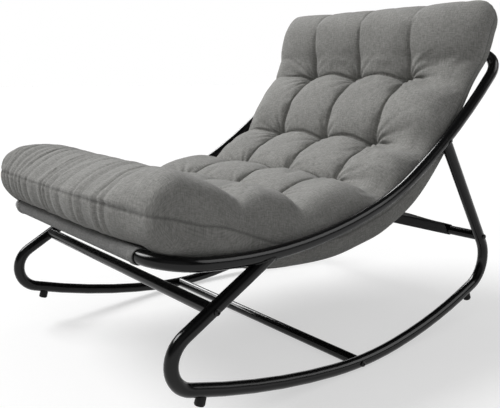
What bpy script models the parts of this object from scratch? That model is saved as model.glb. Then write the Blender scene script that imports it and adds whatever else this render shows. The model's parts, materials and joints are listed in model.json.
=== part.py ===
"""Outdoor rocking chair: a bent tube frame on two curved rockers, a cloth sling and one tufted cushion.

Metres, +Z up, origin on the floor under the middle of the frame. The chair faces -Y, and "right" is +X,
the right-hand side in a front view. Angles are in degrees and side-plane directions are measured from +Y.
"""

import math

import bmesh
import bpy
from mathutils import Vector

# Tubes and fits
HALF_SPACING = 0.340        # centre plane of a side frame, from the middle of the chair
TUBE_R = 0.0125             # rails, bars and rocker bases
CROSS_R = 0.0115            # cross tubes
FIT = 0.0003                # gap between neighbouring pieces

# Rocker base: arcs in the side plane, from the lowest point out to the two bends
ROCKER_Y = 0.0187
ROCKER_MID_R = 0.905
ROCKER_MID_TURN = 6.3
ROCKER_FRONT_R = 1.70
ROCKER_REAR_R = 1.235
FRONT_RISE = 18.3           # slope of the rocker where the front bend starts
REAR_RISE = 20.8            # slope of the rocker where the rear bend starts
FRONT_BEND_R = 0.0528
REAR_BEND_R = 0.0698
DIAGONAL_PITCH = 29.1       # the diagonal climbs from the front bend back to the rail
LEG_PITCH = 124.8           # the rear leg leans forward, up to the rail

# Seat rail: corner at the front bar, three arcs beside the seat and back, corner at the top bar
BAR_Y = -0.4700
BAR_Z = 0.3128
CORNER_R = 0.0777
RAIL_START = -7.3
RAIL_SEAT_R = 1.03
RAIL_SEAT_TURN = 24.3
RAIL_HIP_R = 0.573
RAIL_HIP_TURN = 13.0
RAIL_BACK_R = 1.40
RAIL_BACK_TURN = 14.5
STUB = 0.045                # straight end of a rail, after its corner
SPIGOT_R = 0.0098           # reduced bar end that plugs into the rail
SPIGOT_L = 0.034

# Cross tubes, bolts and rubber stops
FRONT_CROSS_UP = 0.0647     # along the diagonal, from the front bend
MID_CROSS_Y = -0.004
REAR_CROSS_UP = 0.0205      # along the rear leg, from the rear bend
BOLT_R = 0.003
BOLT_GRIP = 0.016           # depth of a bolt in its cross tube
HEAD_R = 0.0062
HEAD_H = 0.0042
SOCKET_R = 0.0023
STOP_INSET = 0.026          # along the rocker, from a bend to its stop
STOP_R = 0.0098
STOP_REACH = 0.0268         # from the tube's centre line to the stop's flat foot

# Sling and rear strap
CLOTH_T = 0.0016
SLEEVE_SEAM = 0.024         # from a bar's tangent point to the sleeve's seam
# Place along the span between the bars, and drop below it, both as shares of the span
SLING_SAG = ((0.062, 0.033), (0.200, 0.143), (0.335, 0.208), (0.440, 0.235), (0.530, 0.246), (0.660, 0.226),
             (0.830, 0.139), (0.950, 0.047))
STRAP_AT = 0.600            # share of the sling where the strap is sewn on
STRAP_LAP = 0.020           # sewn under the sling
STRAP_SEAM = 0.036
STRAP_INSET = 0.004

# Cushion
PAD_CLEAR = 0.0013          # from the side seams to the rails
PAD_FRONT_FLARE = 0.010     # extra half width over the front corners
PAD_TOP_FLARE = 0.018       # extra half width above the top corners
PAD_T = 0.140
PAD_OVERHANG = 0.048        # beyond the front bar
NOSE_BEND = 0.65            # share of the overhang that runs level
PAD_RISE = 0.024            # straight on past the top bar
PAD_CROWN = 0.057           # then leaning back, with a rounded end
PAD_LEAN = 58.0             # direction of the leaning part
PAD_NOSE = 0.110            # rounding of the front roll, on top
PAD_CORNER = 0.064          # rounding of the corners in plan
TUFTS_ACROSS = 3
TUFT_ROWS = (0.344, 0.503, 0.658, 0.819)   # shares of the cushion's length
TUFT_DEPTH = 0.052

SIDES = ("right", "left")
BLACK = (0.012, 0.012, 0.013)


def hand(side):
    """Sign of x on a side of the chair."""
    return 1 if side == "right" else -1


def direction(heading):
    """Unit vector in the side plane, as (y, z)."""
    return Vector((math.cos(math.radians(heading)), math.sin(math.radians(heading))))


def trace(start, heading, arcs):
    """Points along a chain of (radius, turn) arcs in the side plane, and the index where each arc ends."""
    points = [Vector(start)]
    marks = []
    for radius, turn in arcs:
        count = max(2, math.ceil(abs(turn) / (2.5 if radius > 20.0 * TUBE_R else 9.0)))
        step = turn / count
        chord = 2.0 * radius * math.sin(math.radians(abs(step)) / 2.0)
        for _ in range(count):
            points.append(points[-1] + chord * direction(heading + step / 2.0))
            heading += step
        marks.append(len(points) - 1)
    return points, marks


def meet(start, heading, line):
    """Where a straight tube from start crosses a polyline in the side plane."""
    go = direction(heading)
    for a, b in zip(line, line[1:]):
        edge = b - a
        cross = go.x * edge.y - go.y * edge.x
        if abs(cross) < 1e-12:
            continue
        gap = a - start
        reach = (gap.x * edge.y - gap.y * edge.x) / cross
        share = (gap.x * go.y - gap.y * go.x) / cross
        if reach > 0.0 and 0.0 <= share <= 1.0:
            return start + reach * go
    raise ValueError("the tube misses the rail")


def lift(points, x):
    """Side-plane points placed at one x."""
    return [Vector((x, p.x, p.y)) for p in points]


def finish(name, bm, colour, roughness, metallic=0.0):
    """Close a bmesh into a smooth-shaded object with its own material."""
    bmesh.ops.recalc_face_normals(bm, faces=bm.faces)
    mesh = bpy.data.meshes.new(name)
    bm.to_mesh(mesh)
    bm.free()
    mesh.shade_smooth()
    mesh.set_sharp_from_angle(angle=math.radians(40.0))
    material = bpy.data.materials.new(name)
    material.use_nodes = True
    shader = material.node_tree.nodes["Principled BSDF"]
    shader.inputs["Base Color"].default_value = (*colour, 1.0)
    shader.inputs["Roughness"].default_value = roughness
    shader.inputs["Metallic"].default_value = metallic
    mesh.materials.append(material)
    obj = bpy.data.objects.new(name, mesh)
    bpy.context.scene.collection.objects.link(obj)
    return obj


def sweep(name, path, radii, colour=BLACK, roughness=0.35, metallic=0.0, segments=16, along=None):
    """Round body along a path, with one radius or one per point; along fixes the ring normals."""
    bm = bmesh.new()
    if isinstance(radii, float):
        radii = [radii] * len(path)
    normal = None
    rings = []
    for i, point in enumerate(path):
        if along is not None:
            tangent = along.normalized()
        else:
            before = (point - path[i - 1]).normalized() if i > 0 else Vector()
            after = (path[i + 1] - point).normalized() if i < len(path) - 1 else Vector()
            tangent = (before + after).normalized()
        if normal is None:
            normal = tangent.orthogonal()
        normal = (normal - tangent * normal.dot(tangent)).normalized()
        side = tangent.cross(normal)
        ring = []
        for k in range(segments):
            angle = 2.0 * math.pi * k / segments
            spoke = math.cos(angle) * normal + math.sin(angle) * side
            ring.append(bm.verts.new(point + radii[i] * spoke))
        rings.append(ring)
    for low, high in zip(rings, rings[1:]):
        for k in range(segments):
            bm.faces.new((low[k - 1], low[k], high[k], high[k - 1]))
    bm.faces.new(rings[0])
    bm.faces.new(rings[-1])
    return finish(name, bm, colour, roughness, metallic)


def turned(name, start, along, profile, **look):
    """Turned piece from (distance, radius) pairs along an axis."""
    axis = along.normalized()
    path = [start + axis * distance for distance, _ in profile]
    return sweep(name, path, [radius for _, radius in profile], along=axis, **look)


def cut(obj, tools):
    """Subtract the tools from an object, keep the result as its mesh and remove the tools."""
    for tool in tools:
        modifier = obj.modifiers.new("cut", "BOOLEAN")
        modifier.operation = "DIFFERENCE"
        modifier.solver = "EXACT"
        modifier.object = tool
    depsgraph = bpy.context.evaluated_depsgraph_get()
    mesh = bpy.data.meshes.new_from_object(obj.evaluated_get(depsgraph))
    obj.modifiers.clear()
    obj.data = mesh
    for tool in tools:
        bpy.data.objects.remove(tool)


def along_path(points, distance):
    """Point and direction on a polyline, at a distance from its start."""
    for a, b in zip(points, points[1:]):
        step = b - a
        if distance <= step.length or b is points[-1]:
            return a + step.normalized() * distance, step.normalized()
        distance -= step.length


def length(points):
    return sum((b - a).length for a, b in zip(points, points[1:]))


def tangent_angle(point, centre, radius, sense):
    """Angle on a circle, in radians, where the line from a point touches it."""
    gap = point - centre
    return math.atan2(gap.y, gap.x) + sense * math.acos(radius / gap.length)


def wrap(centre, radius, start, stop, count):
    """Points round a circle from one angle to another."""
    angles = [start + (stop - start) * k / count for k in range(count + 1)]
    return [centre + radius * Vector((math.cos(a), math.sin(a))) for a in angles]


def smooth_line(points, count):
    """Catmull-Rom curve through the points, with count steps for each span."""
    ends = [2.0 * points[0] - points[1]] + list(points) + [2.0 * points[-1] - points[-2]]
    line = [points[0]]
    for a, b, c, d in zip(ends, ends[1:], ends[2:], ends[3:]):
        for k in range(1, count + 1):
            t = k / count
            line.append(0.5 * (2.0 * b + t * (c - a) + t * t * (2.0 * a - 5.0 * b + 4.0 * c - d)
                               + t * t * t * (3.0 * b - a - 3.0 * c + d)))
    return line


def offset(points, distance):
    """Polyline moved sideways; positive is to the left of its run."""
    moved = []
    for i, point in enumerate(points):
        before = (point - points[i - 1]).normalized() if i > 0 else Vector((0.0, 0.0))
        after = (points[i + 1] - point).normalized() if i < len(points) - 1 else Vector((0.0, 0.0))
        run = (before + after).normalized()
        miter = 1.0 / max(0.5, run.dot(after if i < len(points) - 1 else before))
        moved.append(point + distance * miter * Vector((-run.y, run.x)))
    return moved


def cloth(name, path, half_width, colour, roughness):
    """Strip of cloth: a side-plane path given thickness and run from left to right."""
    left = offset(path, CLOTH_T / 2.0)
    right = offset(path, -CLOTH_T / 2.0)
    bm = bmesh.new()
    rows = []
    for x in (-half_width, half_width):
        rows.append([[bm.verts.new(v) for v in lift(line, x)] for line in (left, right)])
    (left_a, right_a), (left_b, right_b) = rows
    for i in range(len(path) - 1):
        bm.faces.new((left_a[i], left_a[i + 1], left_b[i + 1], left_b[i]))
        bm.faces.new((right_a[i], right_b[i], right_b[i + 1], right_a[i + 1]))
        bm.faces.new((left_a[i], right_a[i], right_a[i + 1], left_a[i + 1]))
        bm.faces.new((left_b[i], left_b[i + 1], right_b[i + 1], right_b[i]))
    for i in (0, -1):
        bm.faces.new((left_a[i], left_b[i], right_b[i], right_a[i]))
    return finish(name, bm, colour, roughness)


for old in list(bpy.data.objects):
    bpy.data.objects.remove(old)

# Seat rail line in the side plane, between its two corners
front_bar = Vector((BAR_Y, BAR_Z))
front_run = direction(RAIL_START)
rail_arcs = ((RAIL_SEAT_R, RAIL_SEAT_TURN), (RAIL_HIP_R, RAIL_HIP_TURN), (RAIL_BACK_R, RAIL_BACK_TURN))
rail_line, _ = trace(front_bar + CORNER_R * front_run, RAIL_START, rail_arcs)
top_run = direction(RAIL_START + sum(turn for _, turn in rail_arcs))
top_bar = rail_line[-1] + CORNER_R * top_run
corner_x = HALF_SPACING - CORNER_R
joint_x = corner_x - STUB


def rail_path(sign):
    """Whole rail: stub, front corner, side line, top corner, stub."""
    quarter = [math.radians(9.0 * k) for k in range(11)]
    path = [Vector((joint_x, front_bar.x, front_bar.y))]
    for a in quarter[:-1]:
        p = front_bar + CORNER_R * (1.0 - math.cos(a)) * front_run
        path.append(Vector((corner_x + CORNER_R * math.sin(a), p.x, p.y)))
    path += lift(rail_line, HALF_SPACING)
    for a in quarter[1:]:
        p = rail_line[-1] + CORNER_R * math.sin(a) * top_run
        path.append(Vector((corner_x + CORNER_R * math.cos(a), p.x, p.y)))
    path.append(Vector((joint_x, top_bar.x, top_bar.y)))
    return [Vector((sign * p.x, p.y, p.z)) for p in path]


# Rocker base line: diagonal, front bend, rocker, rear bend, rear leg
low_point = (ROCKER_Y, TUBE_R)
front_part, front_marks = trace(low_point, 180.0, (
    (ROCKER_MID_R, -ROCKER_MID_TURN),
    (ROCKER_FRONT_R, ROCKER_MID_TURN - FRONT_RISE),
    (FRONT_BEND_R, FRONT_RISE + DIAGONAL_PITCH - 180.0)))
rear_part, rear_marks = trace(low_point, 0.0, (
    (ROCKER_MID_R, ROCKER_MID_TURN),
    (ROCKER_REAR_R, REAR_RISE - ROCKER_MID_TURN),
    (REAR_BEND_R, LEG_PITCH - REAR_RISE)))
diagonal_top = meet(front_part[-1], DIAGONAL_PITCH, rail_line)
leg_top = meet(rear_part[-1], LEG_PITCH, rail_line)
base_line = [diagonal_top] + front_part[::-1] + rear_part[1:] + [leg_top]

# Cross tube axes in the side plane, on the base's centre line
rocker_line = front_part[front_marks[1]::-1] + rear_part[1:rear_marks[1] + 1]
mid_axis = meet(Vector((MID_CROSS_Y, -1.0)), 90.0, rocker_line)
crosses = {
    "front": front_part[-1] + FRONT_CROSS_UP * direction(DIAGONAL_PITCH),
    "mid": mid_axis,
    "rear": rear_part[-1] + REAR_CROSS_UP * direction(LEG_PITCH),
}

# Side frames, with a socket in each rail end and a hole for each bolt
for side in SIDES:
    sign = hand(side)
    inward = Vector((-sign, 0.0, 0.0))
    rail = sweep("seat_rail_" + side, rail_path(sign), TUBE_R)
    sockets = []
    for bar in (front_bar, top_bar):
        mouth = Vector((sign * (joint_x - TUBE_R), bar.x, bar.y))
        bore = ((0.0, SPIGOT_R + FIT), (TUBE_R + SPIGOT_L + FIT, SPIGOT_R + FIT))
        sockets.append(turned("socket", mouth, -inward, bore))
    cut(rail, sockets)

    base = sweep("rocker_base_" + side, lift(base_line, sign * HALF_SPACING), TUBE_R)
    tools = [sweep("rail_cope", lift(rail_line, sign * HALF_SPACING), TUBE_R + FIT)]
    for axis in crosses.values():
        start = Vector((sign * (HALF_SPACING + 2.0 * TUBE_R), axis.x, axis.y))
        bore = ((0.0, BOLT_R + FIT), (4.0 * TUBE_R, BOLT_R + FIT))
        tools.append(turned("bolt_hole", start, inward, bore, segments=12))
    cut(base, tools)

# Bars that join the rails, with a reduced end in each socket
for name, bar in (("front_bar", front_bar), ("top_bar", top_bar)):
    shoulder = joint_x - FIT
    tip = joint_x + SPIGOT_L
    turned(name, Vector((0.0, bar.x, bar.y)), Vector((1.0, 0.0, 0.0)), (
        (-tip, SPIGOT_R), (-shoulder, SPIGOT_R), (-shoulder, TUBE_R),
        (shoulder, TUBE_R), (shoulder, SPIGOT_R), (tip, SPIGOT_R)), roughness=0.45)

# Cross tubes, coped to the bases, and the bolts that hold them
for place, axis in crosses.items():
    tube = turned(place + "_cross_tube", Vector((0.0, axis.x, axis.y)), Vector((1.0, 0.0, 0.0)),
                  ((-HALF_SPACING, CROSS_R), (HALF_SPACING, CROSS_R)))
    tools = []
    depth = HALF_SPACING - TUBE_R - BOLT_GRIP
    for side in SIDES:
        sign = hand(side)
        outward = Vector((sign, 0.0, 0.0))
        tools.append(sweep("base_cope", lift(base_line, sign * HALF_SPACING), TUBE_R + FIT))
        tools.append(turned("bolt_hole", Vector((sign * (depth - FIT), axis.x, axis.y)), outward,
                            ((0.0, BOLT_R + FIT), (BOLT_GRIP + 4.0 * TUBE_R, BOLT_R + FIT)), segments=12))
        seat = HALF_SPACING + TUBE_R + FIT - depth
        bolt = turned("bolt_" + place + "_" + side, Vector((sign * depth, axis.x, axis.y)), outward, (
            (0.0, BOLT_R), (seat, BOLT_R), (seat, HEAD_R), (seat + 0.35 * HEAD_H, HEAD_R),
            (seat + 0.75 * HEAD_H, 0.78 * HEAD_R), (seat + HEAD_H, 0.42 * HEAD_R)), segments=12)
        floor = Vector((sign * (depth + seat + 0.4 * HEAD_H), axis.x, axis.y))
        recess = turned("hex_recess", floor, outward, ((0.0, SOCKET_R), (HEAD_H, SOCKET_R)), segments=6)
        cut(bolt, [recess])
    cut(tube, tools)

# Rubber stops under the rockers, shaped to the tube
for place, line, mark in (("front", front_part, front_marks[1]), ("rear", rear_part, rear_marks[1])):
    spot, run = along_path(line[mark::-1], STOP_INSET)
    down = Vector((-run.y, run.x)) if run.x < 0.0 else Vector((run.y, -run.x))
    for side in SIDES:
        x = hand(side) * HALF_SPACING
        foot = ((0.0, 0.88 * STOP_R), (STOP_REACH - 0.25 * STOP_R, STOP_R), (STOP_REACH, 0.86 * STOP_R))
        centre = Vector((x, spot.x, spot.y))
        stop = turned("stop_" + place + "_" + side, centre, Vector((0.0, down.x, down.y)), foot,
                      colour=(0.010, 0.010, 0.010), roughness=0.8)
        cut(stop, [sweep("base_cope", lift(base_line, x), TUBE_R + FIT)])

# Sling line: tangent to both bars, sagging between them
span = top_bar - front_bar
below = Vector((span.y, -span.x)).normalized()
sag = [front_bar + share * span + drop * span.length * below for share, drop in SLING_SAG]
bar_wrap = TUBE_R + FIT + CLOTH_T / 2.0
front_on = tangent_angle(sag[0], front_bar, bar_wrap, 1.0)
top_on = tangent_angle(sag[-1], top_bar, bar_wrap, -1.0)
front_touch = wrap(front_bar, bar_wrap, front_on, front_on, 1)[0]
top_touch = wrap(top_bar, bar_wrap, top_on, top_on, 1)[0]
sheet = smooth_line([front_touch] + sag + [top_touch], 4)


def sleeve(centre, radius, on, seam, sense):
    """Cloth round a tube from one angle, then straight back to the seam point."""
    off = tangent_angle(seam, centre, radius, -sense)
    turn = (sense * (off - on)) % (2.0 * math.pi)
    return wrap(centre, radius, on, on + sense * turn, 14) + [seam]


under_sheet = offset(sheet, -CLOTH_T - FIT)
front_seam, _ = along_path(under_sheet, SLEEVE_SEAM)
top_seam, _ = along_path(under_sheet[::-1], SLEEVE_SEAM)
sling_path = sleeve(front_bar, bar_wrap, front_on, front_seam, 1.0)[::-1]
sling_path += sheet[1:-1]
sling_path += sleeve(top_bar, bar_wrap, top_on, top_seam, -1.0)
sling_half = corner_x - FIT
cloth("sling", sling_path, sling_half, (0.085, 0.085, 0.082), 0.9)

# Rear strap: sewn under the sling and looped round the rear cross tube
cross_wrap = CROSS_R + FIT + CLOTH_T / 2.0
sewn_at = STRAP_AT * length(under_sheet)
sewn = [along_path(under_sheet, sewn_at - share * STRAP_LAP)[0] for share in (1.0, 0.5, 0.0)]
strap_on = tangent_angle(sewn[-1], crosses["rear"], cross_wrap, -1.0)
strap_touch = wrap(crosses["rear"], cross_wrap, strap_on, strap_on, 1)[0]
strap_seam, _ = along_path(offset([strap_touch, sewn[-1]], CLOTH_T + FIT), STRAP_SEAM)
strap_path = sewn + sleeve(crosses["rear"], cross_wrap, strap_on, strap_seam, -1.0)
cloth("rear_strap", strap_path, sling_half - STRAP_INSET, (0.030, 0.030, 0.031), 0.9)

# Cushion sizes that follow the frame
pad_half = HALF_SPACING - TUBE_R - PAD_CLEAR
tuft_pitch = 2.0 * pad_half / (TUFTS_ACROSS + 1)

# Cushion line: on the sling, out past the front bar and up past the top bar
pad_sheet = offset(sheet, CLOTH_T / 2.0 + FIT)
nose_mid = pad_sheet[0] + (1.0 - NOSE_BEND) * PAD_OVERHANG * (pad_sheet[0] - pad_sheet[1]).normalized()
nose_end = nose_mid + NOSE_BEND * PAD_OVERHANG * direction(176.0)
crown_start = pad_sheet[-1] + PAD_RISE * (pad_sheet[-1] - pad_sheet[-2]).normalized()
crown_end = crown_start + PAD_CROWN * direction(PAD_LEAN)
pad_line = [nose_end, nose_mid] + pad_sheet + [crown_start, crown_end]
pad_length = length(pad_line)


def rounding(distance, radius):
    """Quarter-circle share, from 0 at an end to 1 at the radius."""
    if distance >= radius:
        return 1.0
    return math.sqrt(1.0 - (1.0 - distance / radius) ** 2)


def ramp(value, start, stop):
    """Smooth step from 0 at start to 1 at stop."""
    share = min(1.0, max(0.0, (value - start) / (stop - start)))
    return share * share * (3.0 - 2.0 * share)


def half_width(s):
    """Half width of the cushion at its seams: flared over both ends of the rails, with rounded corners."""
    share = s / pad_length
    flare = PAD_FRONT_FLARE * ramp(share, 0.20, 0.08) + PAD_TOP_FLARE * ramp(share, 0.83, 0.91)
    return pad_half + flare - PAD_CORNER * (1.0 - rounding(min(s, pad_length - s), PAD_CORNER))


def valley(position):
    """1 on a crease line (whole numbers), 0 half-way between two of them."""
    return 1.0 - abs(math.sin(math.pi * position)) ** 0.7


def row_position(s):
    """Position along the cushion counted in tuft rows."""
    rows = [share * pad_length for share in TUFT_ROWS]
    if s <= rows[0]:
        return max(-0.5, 0.6 * (s - rows[0]) / (rows[1] - rows[0]))
    for k in range(len(rows) - 1):
        if s <= rows[k + 1]:
            return k + (s - rows[k]) / (rows[k + 1] - rows[k])
    return len(rows) - 1 + min(0.5, (s - rows[-1]) / (rows[-1] - rows[-2]))


def pad_heights(s, x):
    """Lower and upper face of the cushion above its line, at a distance along it and at one x."""
    top_end = rounding(pad_length - s, PAD_CROWN)
    across = min(1.0, abs(x) / half_width(s))
    fullness = (1.0 - across ** 9.0) ** 0.5
    crown = fullness * top_end * rounding(s, PAD_NOSE)
    belly = fullness * top_end * rounding(s, PAD_OVERHANG)
    row = row_position(s)
    columns = min(1.0, max(0.0, 1.0 + 3.0 * row))
    outer = 0.5 * TUFTS_ACROSS
    column = min(outer, abs(x) / tuft_pitch)
    crease_x = columns * valley(column + 0.5 * (TUFTS_ACROSS - 1))
    crease_s = valley(row)
    dip = TUFT_DEPTH * (1.0 - (1.0 - 0.50 * crease_x) * (1.0 - 0.70 * crease_s))
    upper = PAD_T * (0.5 + 0.58 * crown) - dip * min(1.0, 1.4 * crown)
    lower = PAD_T * (0.5 - 0.5 * belly)
    return lower, max(upper, lower + 0.03 * PAD_T)


def pad_stations():
    """Distances along the cushion: close at the rounded ends, with a station on every tuft row."""
    ends = (0.0, 0.12, 0.35, NOSE_BEND)
    rows = [share * pad_length for share in TUFT_ROWS]
    knots = [PAD_OVERHANG] + rows + [pad_length - PAD_CROWN]
    spans = (7, 4, 4, 4, 4)
    stations = [PAD_OVERHANG * share for share in ends]
    for a, b, count in zip(knots, knots[1:], spans):
        stations += [a + (b - a) * k / count for k in range(count)]
    return stations + [knots[-1]] + [pad_length - PAD_CROWN * share for share in ends[::-1]]


# Cushion: one closed body of upper and lower rows that meet at the side seams
columns = [0.25 * k * tuft_pitch for k in range(2 * TUFTS_ACROSS + 2)] + [0.965 * pad_half]
columns = [-x for x in columns[:0:-1]] + columns
bm = bmesh.new()
loops = []
for s in pad_stations():
    spot, run = along_path(pad_line, s)
    up = Vector((-run.y, run.x))
    half = half_width(s)
    upper_row = []
    lower_row = []
    for x in columns:
        wide = x * half / pad_half
        low, high = pad_heights(s, wide)
        for row, height in ((upper_row, high), (lower_row, low)):
            place = spot + height * up
            row.append(bm.verts.new((wide, place.x, place.y)))
    seams = []
    for sign in (-1.0, 1.0):
        place = spot + 0.5 * PAD_T * up
        seams.append(bm.verts.new((sign * half, place.x, place.y)))
    loops.append([seams[0]] + upper_row + [seams[1]] + lower_row[::-1])
for near, far in zip(loops, loops[1:]):
    for k in range(len(near)):
        bm.faces.new((near[k - 1], near[k], far[k], far[k - 1]))
for loop in (loops[0], loops[-1]):
    count = len(columns)
    upper_row = loop[1:count + 1]
    lower_row = loop[count + 2:][::-1]
    bm.faces.new((loop[0], upper_row[0], lower_row[0]))
    bm.faces.new((loop[count + 1], lower_row[-1], upper_row[-1]))
    for k in range(count - 1):
        bm.faces.new((upper_row[k], upper_row[k + 1], lower_row[k + 1], lower_row[k]))
finish("cushion", bm, (0.235, 0.235, 0.228), 0.95)
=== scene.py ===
"""Looks for the outdoor rocking chair: tufted cushion, cloth sling and strap, materials, light and camera.

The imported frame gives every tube, bolt and stop. This script replaces the three soft solids with cloth and a
simulated cushion, gives every surface its material, and adds welds and stitching.
"""

import json
import math

import bmesh
import bpy
import numpy as np
from mathutils import Matrix, Vector
from mathutils.bvhtree import BVHTree
from mathutils.kdtree import KDTree

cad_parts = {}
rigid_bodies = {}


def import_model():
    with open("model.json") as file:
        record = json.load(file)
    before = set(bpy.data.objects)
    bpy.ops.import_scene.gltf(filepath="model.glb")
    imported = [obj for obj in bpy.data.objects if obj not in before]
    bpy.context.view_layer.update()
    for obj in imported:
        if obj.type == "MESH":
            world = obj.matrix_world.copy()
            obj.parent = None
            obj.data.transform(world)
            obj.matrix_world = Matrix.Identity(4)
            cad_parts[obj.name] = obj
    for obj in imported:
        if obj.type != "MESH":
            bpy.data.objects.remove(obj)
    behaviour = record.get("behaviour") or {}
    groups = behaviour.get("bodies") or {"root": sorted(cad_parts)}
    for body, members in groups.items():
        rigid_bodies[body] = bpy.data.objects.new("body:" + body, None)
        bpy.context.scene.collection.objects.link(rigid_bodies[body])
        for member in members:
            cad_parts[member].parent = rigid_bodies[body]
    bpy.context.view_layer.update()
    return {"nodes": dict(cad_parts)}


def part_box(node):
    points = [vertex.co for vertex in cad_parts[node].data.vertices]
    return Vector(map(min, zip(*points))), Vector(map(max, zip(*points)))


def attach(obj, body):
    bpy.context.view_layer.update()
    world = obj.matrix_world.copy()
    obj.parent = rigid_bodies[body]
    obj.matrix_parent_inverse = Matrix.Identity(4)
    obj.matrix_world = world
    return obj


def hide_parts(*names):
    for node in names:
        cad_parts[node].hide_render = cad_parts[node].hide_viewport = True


for old in list(bpy.data.objects):
    bpy.data.objects.remove(old)

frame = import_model()
nodes = frame["nodes"]

# Sizes of the tubes and the cloth, as in the solids
TUBE_R = 0.0125
CROSS_R = 0.0115
FIT = 0.0003
CLOTH_T = 0.0016
SLEEVE_SEAM = 0.024
SLING_SAG = ((0.062, 0.033), (0.200, 0.143), (0.335, 0.208), (0.440, 0.235), (0.530, 0.246), (0.660, 0.226),
             (0.830, 0.139), (0.950, 0.047))
STRAP_AT = 0.600
STRAP_LAP = 0.020
STRAP_SEAM = 0.036

# Sizes of the cushion; pairs are for the left and the right side
PAD_CLEAR = 0.0013                  # from its sides to the rails
PAD_FRONT_FLARE = (0.011, 0.017)    # extra half width over the front corners
PAD_TOP_FLARE = 0.0175              # extra half width above the top corners
NEAR_TOP_FLARE = 1.15               # times that on the right
PAD_T = 0.140
PAD_OVERHANG = 0.048                # beyond the front bar
NOSE_BEND = 0.65                    # share of the overhang that runs almost level
NOSE_HEADING = 176.0
PAD_RISE = 0.024                    # straight on past the top bar
PAD_CROWN = 0.057                   # then leaning back
PAD_LEAN = 58.0
PAD_NOSE = 0.110                    # rounding of the front roll on the left
NEAR_NOSE = 0.062                   # less rounding than that on the right
PAD_CORNER = (0.058, 0.046)         # rounding of the front corners in plan
PAD_TOP_CORNER = 0.044
PAD_GRID = (224, 118)               # points along and across
TUFT_ROWS = (0.2025, 0.3463, 0.5063, 0.6710, 0.8403)    # shares of the cushion's length
ROW_BOW = (0.80, 0.80, 0.0, 0.0, 0.0)                   # the front rows bow forward towards the sides
TUFT_SHIFT = (0.022, 0.011)         # forward: right tuft of the first row, left tuft of the second


def middle(node):
    """Centre of a straight tube in the side plane, as (y, z)."""
    low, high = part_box(node)
    return np.array(((low.y + high.y) / 2.0, (low.z + high.z) / 2.0))


front_bar = middle("front_bar")
top_bar = middle("top_bar")
rear_tube = middle("rear_cross_tube")
side_x = (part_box("rocker_base_right")[0].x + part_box("rocker_base_right")[1].x) / 2.0
sling_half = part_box("sling")[1].x
strap_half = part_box("rear_strap")[1].x
pad_half = side_x - TUBE_R - PAD_CLEAR
tuft_pitch = pad_half / 2.0


def unit(heading):
    """Direction in the side plane, as (y, z), from degrees above +Y."""
    return np.array((math.cos(math.radians(heading)), math.sin(math.radians(heading))))


def normalized(v):
    return v / np.linalg.norm(v)


def tangent_angle(point, centre, radius, sense):
    """Angle on a circle where the line from a point touches it."""
    gap = point - centre
    return math.atan2(gap[1], gap[0]) + sense * math.acos(radius / np.linalg.norm(gap))


def on_circle(centre, radius, angle):
    return centre + radius * np.array((math.cos(angle), math.sin(angle)))


def smooth_line(points, count):
    """Catmull-Rom curve through side-plane points."""
    ends = [2.0 * points[0] - points[1]] + list(points) + [2.0 * points[-1] - points[-2]]
    line = [points[0]]
    for a, b, c, d in zip(ends, ends[1:], ends[2:], ends[3:]):
        for k in range(1, count + 1):
            t = k / count
            line.append(0.5 * (2.0 * b + t * (c - a) + t * t * (2.0 * a - 5.0 * b + 4.0 * c - d)
                               + t * t * t * (3.0 * b - a - 3.0 * c + d)))
    return np.array(line)


def distances(line):
    """Distance of each point of a polyline from its start."""
    return np.concatenate(([0.0], np.cumsum(np.linalg.norm(np.diff(line, axis=0), axis=1))))


def offset(line, distance):
    """Polyline moved sideways; positive is to the left of its run."""
    run = np.gradient(line, axis=0)
    run /= np.linalg.norm(run, axis=1)[:, None]
    return line + distance * np.stack((-run[:, 1], run[:, 0]), axis=1)


def at(line, s):
    """Points on a polyline at distances from its start."""
    d = distances(line)
    return np.stack((np.interp(s, d, line[:, 0]), np.interp(s, d, line[:, 1])), axis=-1)


def ramp(value, start, stop):
    """Smooth rise from 0 at start to 1 at stop; start may be the larger one."""
    t = np.clip((value - start) / (stop - start), 0.0, 1.0)
    return t * t * (3.0 - 2.0 * t)


def rounding(distance, radius):
    """Quarter circle from 0 at the edge to 1 at a radius from it."""
    t = np.clip(distance / radius, 0.0, 1.0)
    return np.sqrt(np.maximum(0.0, 1.0 - (1.0 - t) ** 2))


# Sling line between the bars, and the cushion line on it
span = top_bar - front_bar
below = normalized(np.array((span[1], -span[0])))
sag = [front_bar + share * span + drop * np.linalg.norm(span) * below for share, drop in SLING_SAG]
bar_wrap = TUBE_R + FIT + CLOTH_T / 2.0
front_on = tangent_angle(sag[0], front_bar, bar_wrap, 1.0)
top_on = tangent_angle(sag[-1], top_bar, bar_wrap, -1.0)
front_touch = on_circle(front_bar, bar_wrap, front_on)
top_touch = on_circle(top_bar, bar_wrap, top_on)
sheet = smooth_line([front_touch] + sag + [top_touch], 12)
pad_sheet = offset(sheet, CLOTH_T / 2.0 + FIT)
nose_mid = pad_sheet[0] + (1.0 - NOSE_BEND) * PAD_OVERHANG * normalized(pad_sheet[0] - pad_sheet[1])
nose_end = nose_mid + NOSE_BEND * PAD_OVERHANG * unit(NOSE_HEADING)
crown_start = pad_sheet[-1] + PAD_RISE * normalized(pad_sheet[-1] - pad_sheet[-2])
crown_end = crown_start + PAD_CROWN * unit(PAD_LEAN)
pad_line = np.vstack((nose_end, nose_mid, pad_sheet, crown_start, crown_end))
pad_length = distances(pad_line)[-1]
rows = np.array(TUFT_ROWS) * pad_length
tufts = np.array([(row - bow * (k * tuft_pitch) ** 2, k * tuft_pitch) for row, bow in zip(rows, ROW_BOW)
                  for k in (-1.0, 0.0, 1.0)])
tufts[2, 0] -= TUFT_SHIFT[0]
tufts[3, 0] -= TUFT_SHIFT[1]

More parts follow.
